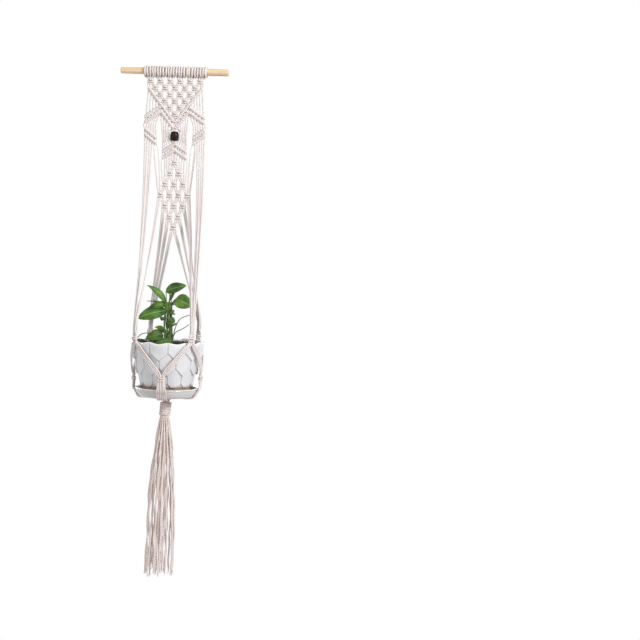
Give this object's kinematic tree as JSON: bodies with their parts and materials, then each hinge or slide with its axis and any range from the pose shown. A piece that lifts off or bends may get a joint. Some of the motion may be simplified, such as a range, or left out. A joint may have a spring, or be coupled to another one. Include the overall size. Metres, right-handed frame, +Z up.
{
  "type": "hanging macrame planter",
  "caption": "Knotted cotton cord hanger on a wooden dowel, with a beaded net, side wings and a long tassel, cradling a glazed pot and saucer with a small leafy plant.",
  "frame": {"origin": "middle of the dowel's axis, where the hooks carry it", "axes": "+Z up, +X along the dowel to the right, front of the net towards -Y"},
  "size_m": [0.23, 0.159, 1.0954],
  "materials": {
    "cotton": "matte",
    "wood": "satin",
    "bead_wood": "gloss",
    "pot_glaze": "gloss",
    "saucer_glaze": "gloss",
    "soil": "matte",
    "leaf": "satin"
  },
  "bodies": {
    "dowel": {"dowel": "wood"},
    "hanger": {"lark_head_01": "cotton", "lark_head_02": "cotton", "lark_head_03": "cotton", "lark_head_04": "cotton", "lark_head_05": "cotton", "lark_head_06": "cotton", "lark_head_07": "cotton", "lark_head_08": "cotton", "lark_head_09": "cotton", "lark_head_10": "cotton", "lark_head_11": "cotton", "lark_head_12": "cotton", "upper_net": "cotton", "lower_net": "cotton", "bead_cords": "cotton", "v_hitches_left": "cotton", "wing_left": "cotton", "bead_arc_left": "cotton", "chevron_hitches_left": "cotton", "v_hitches_right": "cotton", "wing_right": "cotton", "bead_arc_right": "cotton", "chevron_hitches_right": "cotton", "leg_front_left": "cotton", "rim_knot_front_left": "cotton", "leg_front_right": "cotton", "rim_knot_front_right": "cotton", "leg_back_right": "cotton", "rim_knot_back_right": "cotton", "leg_back_left": "cotton", "rim_knot_back_left": "cotton", "saucer_knot_front": "cotton", "saucer_run_front": "cotton", "saucer_knot_right": "cotton", "saucer_run_right": "cotton", "saucer_knot_back": "cotton", "saucer_run_back": "cotton", "saucer_knot_left": "cotton", "saucer_run_left": "cotton", "sling_front_left_to_front": "cotton", "sling_front_left_to_left": "cotton", "sling_front_right_to_front": "cotton", "sling_front_right_to_right": "cotton", "sling_back_right_to_back": "cotton", "sling_back_right_to_right": "cotton", "sling_back_left_to_back": "cotton", "sling_back_left_to_left": "cotton"},
    "bead": {"bead": "bead_wood"},
    "saucer": {"saucer": "saucer_glaze"},
    "pot": {"pot": "pot_glaze", "soil": "soil", "plant": "leaf"},
    "gathering_knot": {"gathering_knot": "cotton"},
    "tassel": {"tassel": "cotton"}
  },
  "joints": [
    {"name": "hanger_swing", "type": "hinge", "parent": "dowel", "child": "hanger", "pos_m": [0, 0, 0], "axis": [1, 0, 0], "range_deg": [-20, 20]},
    {"name": "bead_slide", "type": "slide", "parent": "hanger", "child": "bead", "axis": [0, 0, 1], "range_m": [0, 0.004]},
    {"name": "saucer_turn", "type": "hinge", "parent": "hanger", "child": "saucer", "pos_m": [0, 0, -0.69227], "axis": [0, 0, 1], "continuous": true},
    {"name": "pot_lift", "type": "slide", "parent": "saucer", "child": "pot", "axis": [0, 0, 1], "range_m": [0, 0.012]},
    {"name": "knot_sway", "type": "hinge", "parent": "hanger", "child": "gathering_knot", "pos_m": [0, 0, -0.7022], "axis": [0, 1, 0], "range_deg": [-12, 12]},
    {"name": "tassel_sway", "type": "hinge", "parent": "gathering_knot", "child": "tassel", "pos_m": [0, 0, -0.744], "axis": [1, 0, 0], "range_deg": [-25, 25]}
  ]
}
